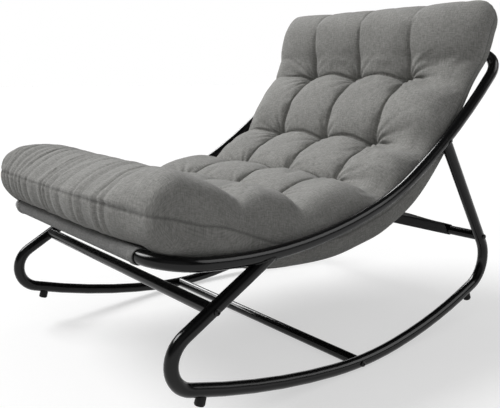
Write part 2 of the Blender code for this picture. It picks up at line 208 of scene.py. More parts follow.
# Cushion form: crest heights above the cushion line, and depths of the tufts below them
CREST = ((0.00, 0.137), (0.06, 0.140), (0.13, 0.141), (0.22, 0.142), (0.30, 0.142), (0.38, 0.143),
         (0.53, 0.151), (0.62, 0.147), (0.76, 0.137), (0.85, 0.135), (0.97, 0.135), (1.06, 0.134),
         (1.17, 0.132), (1.30, 0.129))
EDGE_CREST = ((0.36, 0.0), (0.48, 0.010), (0.56, 0.010), (0.64, 0.007), (0.72, 0.014), (0.80, 0.015),
              (0.88, 0.011), (0.95, 0.009), (1.03, 0.006), (1.12, 0.0))     # added near the sides
TUFT_DEPTH = (0.038, 0.042, 0.055, 0.056, 0.060)
EDGE_RIGHT = (0.54, 0.48, 0.45, 0.42, 0.36)     # shares of the depth left at the sides, for each row
EDGE_LEFT = (0.62, 0.46, 0.54, 0.50, 0.38)
ROW_ARC = 0.008             # rows arch back between their tufts
ROW_POWER = 2.3             # fullness of the puffs along the cushion
COLUMN_POWER = 3.2          # and across it
TUFT_R = 0.020              # dimple round a tuft
CREASE_W = 0.0038
NEAR_SEAM = ((0.05, -0.012), (0.15, -0.002), (0.23, -0.007), (0.30, -0.013), (0.40, -0.012),
             (0.50, -0.011), (0.62, 0.0))   # height of the right seam from mid thickness
SEAM_DROP = 0.060           # share of the thickness that the left seam drops round the front roll
SEAM_GROOVE = 0.0011
SEAM_GROOVE_W = 0.0026
SEAM_PITCH = 0.015          # pucker along the seam
GATHER_PITCH = 0.0363       # spacing of the front folds in the middle
GATHER_GROWTH = 0.051       # per metre towards the right
fine_s = np.linspace(0.0, pad_length, 1301)


def softened(values, width):
    """Values sampled on fine_s, averaged over a smooth window."""
    window = np.hanning(2 * width + 1)
    return np.convolve(np.pad(values, width, mode="edge"), window / window.sum(), mode="valid")


crest_line = softened(np.interp(fine_s, *np.array(CREST).T), 50)
edge_line = softened(np.interp(fine_s, *np.array(EDGE_CREST).T), 30)
seam_line = softened(np.interp(fine_s, *np.array(NEAR_SEAM).T), 50)


def half_width(s, right):
    """Width from the middle to one side; the top end starts to flare lower on the left."""
    share = s / pad_length
    start = np.where(right, 0.83, 0.70)
    stop = np.where(right, 0.955, 0.88)
    top = np.where(right, NEAR_TOP_FLARE, 1.0) * ramp(share, start, stop)
    flare = np.where(right, *PAD_FRONT_FLARE[::-1]) * ramp(share, 0.20, 0.08) + PAD_TOP_FLARE * top
    corner = np.where(s < 0.5 * pad_length, np.where(right, *PAD_CORNER[::-1]), PAD_TOP_CORNER)
    return pad_half + flare - corner * (1.0 - rounding(np.minimum(s, pad_length - s), corner))


def even(curve, count, marks, reach):
    """Parameters of a sampled curve at even steps of its length, with shorter steps near marks."""
    t, x, y = curve
    step = np.hypot(np.diff(x), np.diff(y))
    for mark in marks:
        step = step * (1.0 + 1.9 * np.exp(-((x[1:] - mark) / reach) ** 2))
    d = np.concatenate(([0.0], np.cumsum(step)))
    return np.interp(np.linspace(0.0, d[-1], count), d, t)


def puff(t, power):
    """1 on a crease (t = 1) and 0 on the crest of a puff (t = 0)."""
    return 1.0 - np.sqrt(np.maximum(0.0, 1.0 - np.clip(np.abs(t), 0.0, 1.0) ** power))


def straight(s, x):
    """Distance along the cushion, bent so that each row of tufts lies at one value."""
    column = np.abs(x) / tuft_pitch
    arch = ROW_ARC * np.sin(np.pi * column) ** 2 * ramp(column, 1.6, 1.0)
    bump = ramp(column, 0.1, 1.0) * ramp(column, 1.95, 1.0)
    first = np.where(x > 0.0, bump, 0.0) * ramp(s, rows[1] - 0.04, rows[0])
    second = np.where(x < 0.0, bump, 0.0) * ramp(s, rows[2], rows[1]) * ramp(s, rows[0], rows[1] - 0.05)
    bow = ROW_BOW[0] * x ** 2 * ramp(s, rows[2], rows[1])
    return s - arch + bow + TUFT_SHIFT[0] * first + TUFT_SHIFT[1] * second


def creases(s, x):
    """Shares of the crease across the cushion and of the one along it at each point."""
    column = np.abs(x) / tuft_pitch
    s = straight(s, x)
    edges = np.concatenate(([rows[0] - 0.17], rows, [rows[-1] + 0.20]))
    cell = np.clip(np.searchsorted(rows, s), 0, len(rows))
    low, high = edges[cell], edges[cell + 1]
    share = np.clip((s - low) / (high - low), 0.0, 1.0)
    t_row = np.where(cell == 0, share, np.where(cell == len(rows), 1.0 - share, np.abs(2.0 * share - 1.0)))
    t_col = np.abs(2.0 * (np.minimum(column, 1.5) % 1.0) - 1.0)
    near_row = np.clip(1.0 - np.min(np.abs(s[..., None] - rows), axis=-1) / 0.105, 0.0, 1.0)
    near_col = np.cos(np.pi * np.minimum(column, 1.5)) ** 2
    row_share = 0.58 + 0.26 * near_col
    edge_share = np.where(x > 0.0, np.interp(s, rows, EDGE_RIGHT), np.interp(s, rows, EDGE_LEFT))
    row_share += (edge_share - row_share) * ramp(column, 1.25, 1.85)
    col_share = 0.29 + 0.46 * near_row ** 1.5
    top_fade = 1.0 - 0.75 * ramp(s, rows[-1] + 0.04, pad_length - 0.04)
    col_share *= ramp(s, rows[0] - 0.04, rows[0] + 0.01) * top_fade
    col_share = np.where(column > 1.5, 0.0, col_share)
    soft = ramp(column, 1.12, 1.55) * np.where(x > 0.0, 1.0, 0.3) * ramp(s, rows[1], rows[2])
    row_form = puff(t_row, ROW_POWER) * (1.0 - soft) + ramp(t_row, 0.25, 1.0) * soft
    return row_share * row_form, col_share * puff(t_col, COLUMN_POWER)


def dips(s, x):
    """Depth of creases and tufts below the crest of the cushion."""
    across, along = creases(s, x)
    form = 1.0 - (1.0 - across) * (1.0 - along)
    for row, centre in tufts:
        form = form + 0.14 * np.exp(-((s - row) ** 2 + (x - centre) ** 2) / TUFT_R ** 2)
    roll = 0.012 * ramp(np.abs(x), 0.30, 0.15) * ramp(straight(s, x), rows[0] + 0.02, rows[0] - 0.08)
    return np.interp(straight(s, x), rows, TUFT_DEPTH) * form + roll


def pad_up(stations):
    """Direction away from the cushion line, turning gently so that rows never cross."""
    run = np.gradient(at(pad_line, fine_s), axis=0)
    heading = softened(np.unwrap(np.arctan2(run[:, 1], run[:, 0])), 70)
    heading = np.interp(stations, fine_s, heading)
    return np.stack((-np.sin(heading), np.cos(heading)), axis=1)


def lesser(a, b):
    """Smooth form of the smaller of two shares."""
    a, b = np.maximum(a, 1e-6), np.maximum(b, 1e-6)
    return (a ** -4.0 + b ** -4.0 - 1.0) ** -0.25


def crossing(line):
    """Distances along rows of points, from the middle one."""
    steps = np.linalg.norm(np.diff(line, axis=1), axis=2)
    d = np.concatenate((np.zeros((len(line), 1)), np.cumsum(steps, axis=1)), axis=1)
    return d - d[:, d.shape[1] // 2][:, None]


def panel(stations, across):
    """Grids of points of the upper and lower face, their cloth coordinates, and the grids of s and x.

    s runs along the cushion from the front, x across it, and v is x as a share of the half width.
    """
    s, v = np.meshgrid(stations, across, indexing="ij")
    x = v * half_width(s, v > 0.0)
    square = 7.5 - 1.5 * ramp(s, 0.10, 0.42) + 6.5 * ramp(v, 0.10, 0.50) * ramp(s, 0.62, 0.40)
    square = square + 4.0 * ramp(v, -0.10, -0.50) * ramp(s, 0.36, 0.46) * ramp(s, 0.70, 0.60)
    full_upper = np.sqrt(np.maximum(0.0, 1.0 - np.abs(v) ** square))
    lower_square = 12.0 - 7.5 * ramp(s, 0.93, 1.03) + 3.5 * ramp(s, 1.14, 1.22)
    full_lower = np.sqrt(np.maximum(0.0, 1.0 - np.abs(v) ** lower_square))
    nose = PAD_NOSE - NEAR_NOSE * ramp(v, -0.10, 0.90)
    crown = lesser(lesser(full_upper, rounding(s, nose)), rounding(pad_length - s, 0.9 * PAD_CROWN))
    belly = lesser(full_lower, rounding(s, 0.7 * PAD_OVERHANG)) * rounding(pad_length - s, PAD_CROWN)
    drop = -SEAM_DROP * PAD_T * ramp(s, 0.40, 0.05)
    near_drop = np.interp(s, fine_s, seam_line)
    seam_height = 0.5 * PAD_T + drop + (near_drop - drop) * ramp(v, 0.40, 0.90)
    crest = np.interp(s, fine_s, crest_line) + np.interp(s, fine_s, edge_line) * ramp(np.abs(v), 0.62, 0.86)
    # Right puff of the first seat row, left puff of it, and left end of the front roll
    crest = crest + 0.016 * ramp(v, 0.38, 0.66) * ramp(s, 0.19, 0.26) * ramp(s, 0.40, 0.33)
    crest = crest - 0.004 * ramp(v, -0.30, -0.60) * ramp(s, 0.26, 0.32) * ramp(s, 0.48, 0.42)
    crest = crest + 0.003 * ramp(v, 0.20, -0.60) * ramp(s, 0.22, 0.12)
    plain = seam_height + (crest - seam_height) * crown
    upper = plain - dips(s, x) * np.minimum(1.0, 1.4 * crown)
    lower = seam_height * (1.0 - belly)
    # The right front corner is set back, and the top end is a little askew
    slide = 0.024 * ramp(v, 0.25, 1.0) * ramp(s, 0.16, 0.03)
    slide = slide - 0.003 * v * ramp(s, pad_length - 0.30, pad_length)
    place = at(pad_line, stations)
    up = pad_up(stations)
    run = np.stack((up[:, 1], -up[:, 0]), axis=1)
    faces = []
    for height in (upper, lower, plain):
        yz = place[:, None, :] + height[..., None] * up[:, None, :] + slide[..., None] * run[:, None, :]
        faces.append(np.concatenate((x[..., None], yz), axis=2))
    cloth = []
    for face in (faces[2], faces[1]):
        along = crossing(face.transpose(1, 0, 2))[len(across) // 2]
        cloth.append(np.stack((np.broadcast_to(along[:, None], s.shape), crossing(face)), axis=2))
    return faces[0], faces[1], cloth, s, x


def new_object(name, points, quads):
    """Smooth-shaded mesh object in the scene."""
    mesh = bpy.data.meshes.new(name)
    mesh.from_pydata(np.asarray(points).tolist(), [], np.asarray(quads).tolist())
    mesh.polygons.foreach_set("use_smooth", np.ones(len(mesh.polygons), bool))
    obj = bpy.data.objects.new(name, mesh)
    bpy.context.scene.collection.objects.link(obj)
    return obj


def loop_vertices(mesh):
    index = np.zeros(len(mesh.loops), int)
    mesh.loops.foreach_get("vertex_index", index)
    return index


def set_uv(mesh, corners):
    mesh.uv_layers.new(name="cloth").data.foreach_set("uv", np.asarray(corners, float).ravel())


def grid_quads(grid):
    """Faces between neighbouring points of a grid of indices."""
    return np.stack((grid[:-1, :-1], grid[1:, :-1], grid[1:, 1:], grid[:-1, 1:]), axis=2).reshape(-1, 4)


def write_values(mesh, name, values):
    mesh.attributes.new(name, "FLOAT", "POINT").data.foreach_set("value", np.asarray(values, np.float32))


def read_values(mesh, name):
    values = np.zeros(len(mesh.vertices), np.float32)
    mesh.attributes[name].data.foreach_get("value", values)
    return values.astype(float)


def pad_mesh(name, rows_count, columns_count):
    """Two panels sewn along their edge, with cloth coordinates in metres as its UV map."""
    fine = np.linspace(0.0, pad_length, 4000)
    height = 0.58 * PAD_T * rounding(fine, PAD_NOSE) * rounding(pad_length - fine, PAD_CROWN)
    row_marks = rows + 0.3 * ROW_ARC - 0.04 * np.array(ROW_BOW)
    stations = even((fine, fine, height), rows_count, row_marks, 0.012)
    v = np.linspace(-1.0, 1.0, 4001)
    columns = (-tuft_pitch, 0.0, tuft_pitch)
    side_height = 0.58 * PAD_T * np.sqrt(1.0 - np.abs(v) ** 6.0)
    across = even((v, v * pad_half, side_height), columns_count, columns, 0.010)
    upper, lower, cloth, s, x = panel(stations, across)
    n, m = s.shape
    index = np.arange(n * m).reshape(n, m)
    inner = np.zeros((n, m), bool)
    inner[1:-1, 1:-1] = True
    under = index.copy()
    under[inner] = n * m + np.arange(inner.sum())
    points = np.vstack((upper.reshape(-1, 3), lower[inner]))
    top_quads = grid_quads(index)[:, ::-1]
    under_quads = grid_quads(under)
    obj = new_object(name, points, np.vstack((top_quads, under_quads)))
    corners = [cloth[0].reshape(-1, 2)[top_quads], cloth[1].reshape(-1, 2)[grid_quads(index)]]
    set_uv(obj.data, np.vstack(corners))
    write_values(obj.data, "pad_s", np.concatenate((s.ravel(), s[inner])))
    write_values(obj.data, "pad_x", np.concatenate((x.ravel(), x[inner])))
    write_values(obj.data, "under", np.arange(len(points)) >= n * m)
    write_values(obj.data, "seam", np.concatenate((~inner.ravel(), np.zeros(inner.sum(), bool))))
    return obj


def coordinates(mesh):
    co = np.zeros(len(mesh.vertices) * 3)
    mesh.vertices.foreach_get("co", co)
    return co.reshape(-1, 3)


def place_points(mesh, co):
    mesh.vertices.foreach_set("co", co.ravel())
    mesh.update()


def vertex_normals(mesh):
    normal = np.zeros(len(mesh.vertices) * 3, np.float32)
    mesh.vertex_normals.foreach_get("vector", normal)
    return normal.reshape(-1, 3).astype(float)


def weights(obj, name, values):
    """Vertex group with values rounded to hundredths."""
    group = obj.vertex_groups.new(name=name)
    values = np.round(values, 2)
    for level in np.unique(values):
        if level > 0.0:
            group.add(np.nonzero(values == level)[0].tolist(), float(level), "REPLACE")


def inflate(obj, hold, taut, frames=20, cap=0.010):
    """Cloth simulation with pressure.

    hold pins points, taut keeps cloth from gathering, and cap limits movement.
    """
    before = coordinates(obj.data)
    weights(obj, "hold", hold)
    weights(obj, "taut", taut)
    modifier = obj.modifiers.new("cloth", "CLOTH")
    settings = modifier.settings
    settings.quality = 6
    settings.mass = 0.25
    settings.air_damping = 3.0
    settings.tension_stiffness = 12.0
    settings.compression_stiffness = 12.0
    settings.shear_stiffness = 6.0
    settings.bending_stiffness = 0.3
    settings.shrink_min = -0.012
    settings.shrink_max = 0.008
    settings.vertex_group_shrink = "taut"
    settings.use_pressure = True
    settings.uniform_pressure_force = 2.5
    settings.vertex_group_mass = "hold"
    settings.pin_stiffness = 1.0
    settings.effector_weights.gravity = 0.0
    modifier.collision_settings.use_collision = False
    modifier.point_cache.frame_start = 1
    modifier.point_cache.frame_end = frames
    scene = bpy.context.scene
    for number in range(1, frames + 1):
        scene.frame_set(number)
    swollen = obj.evaluated_get(bpy.context.evaluated_depsgraph_get()).to_mesh()
    after = coordinates(swollen)
    scene.frame_set(1)
    obj.modifiers.remove(modifier)
    obj.vertex_groups.clear()
    move = after - before
    move *= np.minimum(1.0, cap / np.maximum(np.linalg.norm(move, axis=1), 1e-9))[:, None]
    place_points(obj.data, before + move)


def subdivide(obj):
    """One level of subdivision, applied."""
    obj.modifiers.new("finer", "SUBSURF").levels = 1
    finer = bpy.data.meshes.new_from_object(obj.evaluated_get(bpy.context.evaluated_depsgraph_get()))
    finer.name = obj.name
    obj.modifiers.clear()
    old = obj.data
    obj.data = finer
    bpy.data.meshes.remove(old)


def wobble(t, wave, seed):
    """Smooth uneven wave between about -1 and 1."""
    return (np.sin(2.0 * np.pi * t / wave + seed)
            + 0.6 * np.sin(2.0 * np.pi * t / (0.618 * wave) + 2.3 * seed)
            + 0.4 * np.sin(2.0 * np.pi * t / (0.383 * wave) + 4.1 * seed)) / 2.0


def keep_between_rails(co, s, margin=0.004):
    """Side swelling stops softly at the width between the rails."""
    limit = half_width(s, co[:, 0] > 0.0)
    over = np.maximum(0.0, np.abs(co[:, 0]) - (limit - margin))
    eased = np.where(over > 0.0, limit - margin * np.exp(-over / margin), np.abs(co[:, 0]))
    co[:, 0] = np.sign(co[:, 0]) * eased
    return co


def gathers(s, x, under):
    """Soft folds over the front roll, strongest towards the left side."""
    spread = np.log(GATHER_PITCH + GATHER_GROWTH * x) / GATHER_GROWTH
    phase = np.pi * (spread + 0.7 * wobble(x, 0.19, 1.0) + 6.0 * s * wobble(x, 0.11, 2.0))
    folds = np.abs(np.sin(phase)) ** 0.7 - 0.66
    size = (0.0054 + 0.0010 * ramp(x, 0.10, -0.12)) * ramp(x, 0.29, 0.15) * ramp(x, -0.335, -0.29)
    size = (size + 0.0004) * (0.66 + 0.34 * wobble(x, 0.083, 0.7))
    fade = np.where(under > 0.5, ramp(s, 0.046, 0.018), ramp(s, 0.22, 0.07))
    return size * folds * fade


def tuft_folds(s, x, under):
    """Small folds that fan out from each tuft, strongest at the outer tufts and towards the sides."""
    total = np.zeros_like(s)
    for number, (row, centre) in enumerate(tufts):
        ds, dx = s - row, x - centre
        reach = np.hypot(ds, dx)
        angle = np.arctan2(ds, dx)
        outer = abs(centre) > 0.5 * tuft_pitch
        out = np.cos(angle) * np.sign(centre) if outer else np.abs(np.sin(angle))
        depth, count = (0.0092, 14.0) if outer else (0.0050, 11.0)
        size = depth * (0.25 + 0.75 * np.clip(out + 0.25, 0.0, 1.0))
        lines = (0.5 + 0.5 * np.cos(count * angle + 1.7 * number + 9.0 * reach)) ** 2
        total -= size * (lines - 0.3) * np.exp(-reach / 0.046) * ramp(reach, 0.008, 0.026)
    return np.where(under > 0.5, 0.0, total)


def crease_lines(s, x, under):
    """Tight valleys along the creases and in the tufts."""
    column = np.abs(x) / tuft_pitch
    bent = straight(s, x)
    row_gap = np.min(np.abs(bent[:, None] - rows), axis=1)
    col_gap = np.abs(x - np.clip(np.round(x / tuft_pitch), -1.0, 1.0) * tuft_pitch)
    near_tuft = np.min(np.hypot(s[:, None] - tufts[:, 0], x[:, None] - tufts[:, 1]), axis=1)
    deep = np.interp(bent, rows, (0.45, 0.6, 0.8, 1.0, 1.0))
    back = ramp(bent, 0.50, 0.65) * np.where(x > 0.0, 0.0, 1.0)
    row_depth = 0.0040 * deep * ramp(column, 1.45 + 0.4 * back, 1.05 + 0.3 * back)
    behind_roll = ramp(bent, rows[0] - 0.02, rows[0] + 0.02)
    col_depth = 0.0034 * deep * behind_roll * ramp(s, pad_length - 0.03, rows[-1] + 0.08)
    total = row_depth * np.exp(-(row_gap / CREASE_W) ** 2)
    total = np.maximum(total, col_depth * np.exp(-(col_gap / CREASE_W) ** 2))
    total = total + 0.0075 * deep * np.exp(-(near_tuft / 0.012) ** 2)
    return np.where(under > 0.5, 0.0, -total)


def seam_gap(co, seam):
    """Distance of each point from the seam."""
    on_seam = np.nonzero(seam)[0]
    tree = KDTree(len(on_seam))
    for number, vertex in enumerate(on_seam):
        tree.insert(co[vertex], number)
    tree.balance()
    return np.array([tree.find(p)[2] for p in co])


def droop(co, s, x, under):
    """The overhang between the sling's edge and the rails hangs down a little, clear of the tubes."""
    where = np.nonzero((under > 0.5) & (np.abs(x) > sling_half) & (s < 0.30))[0]
    trees = []
    for name in ("seat_rail_right", "seat_rail_left", "front_bar"):
        solid = bmesh.new()
        solid.from_mesh(nodes[name].data)
        trees.append(BVHTree.FromBMesh(solid))
        solid.free()
    room = np.array([min(tree.find_nearest(co[k])[3] for tree in trees) for k in where])
    size = 0.012 * ramp(np.abs(x[where]), sling_half + 0.003, sling_half + 0.020)
    size = size * ramp(s[where], 0.012, 0.045)
    size *= ramp(s[where], 0.30, 0.20) * ramp(room, 0.001, 0.010)
    co[where, 2] -= size
    return co


cushion = pad_mesh("cushion_cover", *PAD_GRID)
pad_s = read_values(cushion.data, "pad_s")
pad_x = read_values(cushion.data, "pad_x")
tuft_gap = np.min(np.hypot(pad_s[:, None] - tufts[:, 0], pad_x[:, None] - tufts[:, 1]), axis=1)
hold = 0.7 * ramp(np.max(creases(pad_s, pad_x), axis=0), 0.22, 0.42)
hold = np.maximum(hold, 0.8 * read_values(cushion.data, "seam"))
hold[tuft_gap < 0.008] = 1.0
hold[read_values(cushion.data, "under") > 0.5] = 1.0
taut = ramp(pad_x, 0.02, 0.14) * ramp(pad_s, 0.62, 0.50)
inflate(cushion, hold, taut)
subdivide(cushion)

pad = cushion.data
pad_s = read_values(pad, "pad_s")
pad_x = read_values(pad, "pad_x")
pad_under = read_values(pad, "under")
pad_co = keep_between_rails(coordinates(pad), pad_s)
pad_co = droop(pad_co, pad_s, pad_x, pad_under)
pad_gap = seam_gap(pad_co, read_values(pad, "seam") > 0.99)
place_points(pad, pad_co)
at_top = ramp(pad_s, pad_length - 0.12, pad_length - 0.03)
seam_run = np.where(np.minimum(pad_s, pad_length - pad_s) < 0.05, pad_x, pad_s)
pucker_phase = seam_run / SEAM_PITCH + 0.4 * wobble(seam_run, 0.09, 3.0)
pucker = (0.0005 + 0.0006 * at_top) * np.sin(2.0 * np.pi * pucker_phase)
detail = gathers(pad_s, pad_x, pad_under) + tuft_folds(pad_s, pad_x, pad_under)
detail += crease_lines(pad_s, pad_x, pad_under)
detail += pucker * np.exp(-pad_gap / 0.010)
detail -= SEAM_GROOVE * np.exp(-(pad_gap / SEAM_GROOVE_W) ** 2)
detail += 0.0005 * np.exp(-((pad_gap - 0.007) / 0.004) ** 2)
detail *= np.where(pad_under > 0.5, ramp(pad_gap, 0.080, 0.050), 1.0)
place_points(pad, keep_between_rails(pad_co + detail[:, None] * vertex_normals(pad), pad_s))
# Painted shade: a thin line at the seam, where the cushion fabric is darkened for the shade in the seam's
# crevice
write_values(pad, "seam_line", np.exp(-(pad_gap / 0.0015) ** 2))

# Sling and strap
HEM_W = 0.014
HEM_T = 0.0009
HEM_STITCH = 0.011          # from a side edge to its stitching
STITCH_STEP = 0.0044
STITCH_MARKS = (0.0, 0.0005, 0.0027, 0.0032)            # rings of one stitch along it
STITCH_RADII = (0.00015, 0.0004, 0.0004, 0.00015)
STITCH_HEIGHTS = (-0.0003, 0.00012, 0.00012, -0.0003)   # above the cloth


def sleeve(centre, radius, on, seam, sense):
    """Cloth round a tube from one angle, then straight back to the seam point."""
    off = tangent_angle(seam, centre, radius, -sense)
    turn = (sense * (off - on)) % (2.0 * math.pi)
    arc = [on_circle(centre, radius, on + sense * turn * k / 40.0) for k in range(41)]
    flap = [arc[-1] + (seam - arc[-1]) * k / 5.0 for k in range(1, 6)]
    return np.array(arc + flap)


def normals_of(path):
    """Directions to the left of a path's run."""
    run = np.gradient(path, axis=0)
    run /= np.linalg.norm(run, axis=1)[:, None]
    return np.stack((-run[:, 1], run[:, 0]), axis=1)


def band(name, path, half, outside, ripple):
    """Cloth strip along a side-plane path; its hems lie on the face that outside names (+1 left)."""
    inset = np.array((0.0, 0.0007, 0.004, 0.010, HEM_W - 0.0008, HEM_W + 0.0008, 0.022))
    x = np.concatenate((-half + inset, np.linspace(-half + 0.034, half - 0.034, 41), half - inset[::-1]))
    hem = HEM_T * ramp(half - np.abs(x), HEM_W + 0.0012, HEM_W - 0.0012)
    rim = 0.0005 * ramp(half - np.abs(x), 0.0015, 0.0)
    up = normals_of(path)
    left = CLOTH_T / 2.0 + np.maximum(outside, 0.0)[:, None] * (hem - rim)
    right = CLOTH_T / 2.0 + np.maximum(-outside, 0.0)[:, None] * (hem - rim)
    faces = []
    for height in (left - ripple(x), -right - ripple(x)):
        yz = path[:, None, :] + height[..., None] * up[:, None, :]
        faces.append(np.concatenate((np.broadcast_to(x[None, :, None], yz.shape[:2] + (1,)), yz), axis=2))
    n, m = len(path), len(x)
    top = np.arange(n * m).reshape(n, m)
    low = top + n * m
    rim_top = np.concatenate((top[0, :-1], top[:-1, -1], top[-1, :0:-1], top[:0:-1, 0]))
    rim_low = rim_top + n * m
    sides = np.stack((rim_top, np.roll(rim_top, -1), np.roll(rim_low, -1), rim_low), axis=1)
    quads = np.vstack((grid_quads(top)[:, ::-1], grid_quads(low), sides[:, ::-1]))
    obj = new_object(name, np.vstack((faces[0].reshape(-1, 3), faces[1].reshape(-1, 3))), quads)
    flat = np.stack(np.broadcast_arrays(distances(path)[:, None], x[None, :]), axis=2).reshape(-1, 2)
    set_uv(obj.data, np.vstack((flat, flat))[loop_vertices(obj.data)])
    return obj


under_sheet = offset(sheet, -CLOTH_T - FIT)
front_sleeve = sleeve(front_bar, bar_wrap, front_on, at(under_sheet, SLEEVE_SEAM), 1.0)[::-1]
top_sleeve = sleeve(top_bar, bar_wrap, top_on, at(under_sheet[::-1], SLEEVE_SEAM), -1.0)
sling_path = np.vstack((front_sleeve, sheet[1:-1], top_sleeve))
sling_run = distances(sling_path)
sheet_start = distances(front_sleeve)[-1]
sheet_stop = sling_run[-1] - distances(top_sleeve)[-1]
on_sleeve = np.maximum(ramp(sling_run, sheet_start - 0.008, sheet_start - 0.020),
                       ramp(sling_run, sheet_stop + 0.008, sheet_stop + 0.020))
free_sheet = ramp(sling_run, sheet_start + 0.06, sheet_start + 0.14)
free_sheet = free_sheet * ramp(sling_run, sheet_stop - 0.06, sheet_stop - 0.14)


def sling_ripple(x):
    wave = 0.5 + 0.5 * wobble(x[None, :] + 0.12 * sling_run[:, None], 0.12, 1.3)
    return 0.0008 * free_sheet[:, None] * wave


sling = band("sling_cloth", sling_path, sling_half, 2.0 * on_sleeve - 1.0, sling_ripple)

cross_wrap = CROSS_R + FIT + CLOTH_T / 2.0
sewn_at = STRAP_AT * distances(under_sheet)[-1]
sewn = at(under_sheet, np.array((sewn_at - STRAP_LAP, sewn_at - STRAP_LAP / 2.0, sewn_at)))
strap_on = tangent_angle(sewn[-1], rear_tube, cross_wrap, -1.0)
strap_touch = on_circle(rear_tube, cross_wrap, strap_on)
strap_seam = at(offset(np.array((strap_touch, sewn[-1])), CLOTH_T + FIT), np.array((STRAP_SEAM,)))[0]
strap_flat = np.array([sewn[-1] + (strap_touch - sewn[-1]) * k / 16.0 for k in range(1, 16)])
strap_loop = sleeve(rear_tube, cross_wrap, strap_on, strap_seam, -1.0)
strap_path = np.vstack((sewn, strap_flat, strap_loop))
strap_run = distances(strap_path)


def strap_ripple(x):
    middle_part = ramp(strap_run, 0.03, 0.09) * ramp(strap_run, strap_run[-1] - 0.10, strap_run[-1] - 0.16)
    return 0.0016 * middle_part[:, None] * wobble(x[None, :] + 0.3 * strap_run[:, None], 0.16, 0.4)


strap = band("rear_strap_cloth", strap_path, strap_half, np.full(len(strap_path), -1.0), strap_ripple)


def stitches(name, lines):
    """Sewing thread: one short rounded bar for each stitch along lines of (points, outward directions)."""
    points = []
    quads = []
    for line, out in lines:
        d = distances(line)
        for start in np.arange(0.002, d[-1] - 0.004, STITCH_STEP):
            marks = start + np.array(STITCH_MARKS)
            centre = np.stack([np.interp(marks, d, line[:, k]) for k in range(3)], axis=1)
            lift = np.stack([np.interp(marks, d, out[:, k]) for k in range(3)], axis=1)
            run = normalized(centre[-1] - centre[0])
            base = len(points)
            for spot, rise, radius, height in zip(centre, lift, STITCH_RADII, STITCH_HEIGHTS):
                rise = normalized(rise)
                side = np.cross(run, rise)
                middle_spot = spot + height * rise
                points += [middle_spot + radius * rise, middle_spot + radius * side,
                           middle_spot - radius * rise, middle_spot - radius * side]
            for ring in range(3):
                for k in range(4):
                    a = base + 4 * ring + k
                    b = base + 4 * ring + (k + 1) % 4
                    quads.append((a, b, b + 4, a + 4))
            quads.append((base + 3, base + 2, base + 1, base))
            quads.append((base + 12, base + 13, base + 14, base + 15))
    return new_object(name, points, quads)


def across_row(path, spot, half, side):
    """A stitch line across a strip, on its left (+1) or right (-1) face."""
    d = distances(path)
    up = normals_of(path)
    centre = at(path, np.array((spot,)))[0]
    out = side * np.array([np.interp(spot, d, up[:, k]) for k in range(2)])
    x = np.linspace(-half + 0.003, half - 0.003, 60)
    place = centre + out * CLOTH_T / 2.0
    points = np.stack((x, np.full_like(x, place[0]), np.full_like(x, place[1])), axis=1)
    return points, np.broadcast_to(np.array((0.0, out[0], out[1])), points.shape)


def edge_row(path, x, start, stop, side, lift):
    """A stitch line along a strip at one place across it."""
    d = distances(path)
    keep = (d >= start) & (d <= stop)
    up = side * normals_of(path)[keep]
    place = path[keep] + up * (CLOTH_T / 2.0 + lift)
    points = np.column_stack((np.full(len(place), x), place))
    return points, np.column_stack((np.zeros(len(up)), up))


sling_rows = [across_row(sling_path, gap, sling_half, 1.0) for gap in (0.004, 0.011)]
sling_rows += [across_row(sling_path, sling_run[-1] - gap, sling_half, 1.0) for gap in (0.004, 0.011)]
for sign in (-1.0, 1.0):
    hem_x = sign * (sling_half - HEM_STITCH)
    lift = HEM_T + 0.0002
    sling_rows.append(edge_row(sling_path, hem_x, sheet_start + 0.03, sheet_stop - 0.03, -1.0, lift))
    sling_rows.append(edge_row(sling_path, hem_x, 0.012, sheet_start - 0.022, 1.0, HEM_T))
    sling_rows.append(edge_row(sling_path, hem_x, sheet_stop + 0.022, sling_run[-1] - 0.012, 1.0, HEM_T))
sling_thread = stitches("sling_stitching", sling_rows)
strap_rows = []
for side in (1.0, -1.0):
    strap_rows += [across_row(strap_path, strap_run[-1] - gap, strap_half, side) for gap in (0.004, 0.010)]
strap_rows += [across_row(strap_path, gap, strap_half, -1.0) for gap in (0.005, 0.015)]
for sign in (-1.0, 1.0):
    hem_x = sign * (strap_half - HEM_STITCH)
    strap_rows.append(edge_row(strap_path, hem_x, 0.03, strap_run[-1] - 0.02, -1.0, HEM_T))
strap_thread = stitches("strap_stitching", strap_rows)


# Weld beads where the bases meet the rails
BEAD_R = 0.0023
BEAD_SIDES = 8


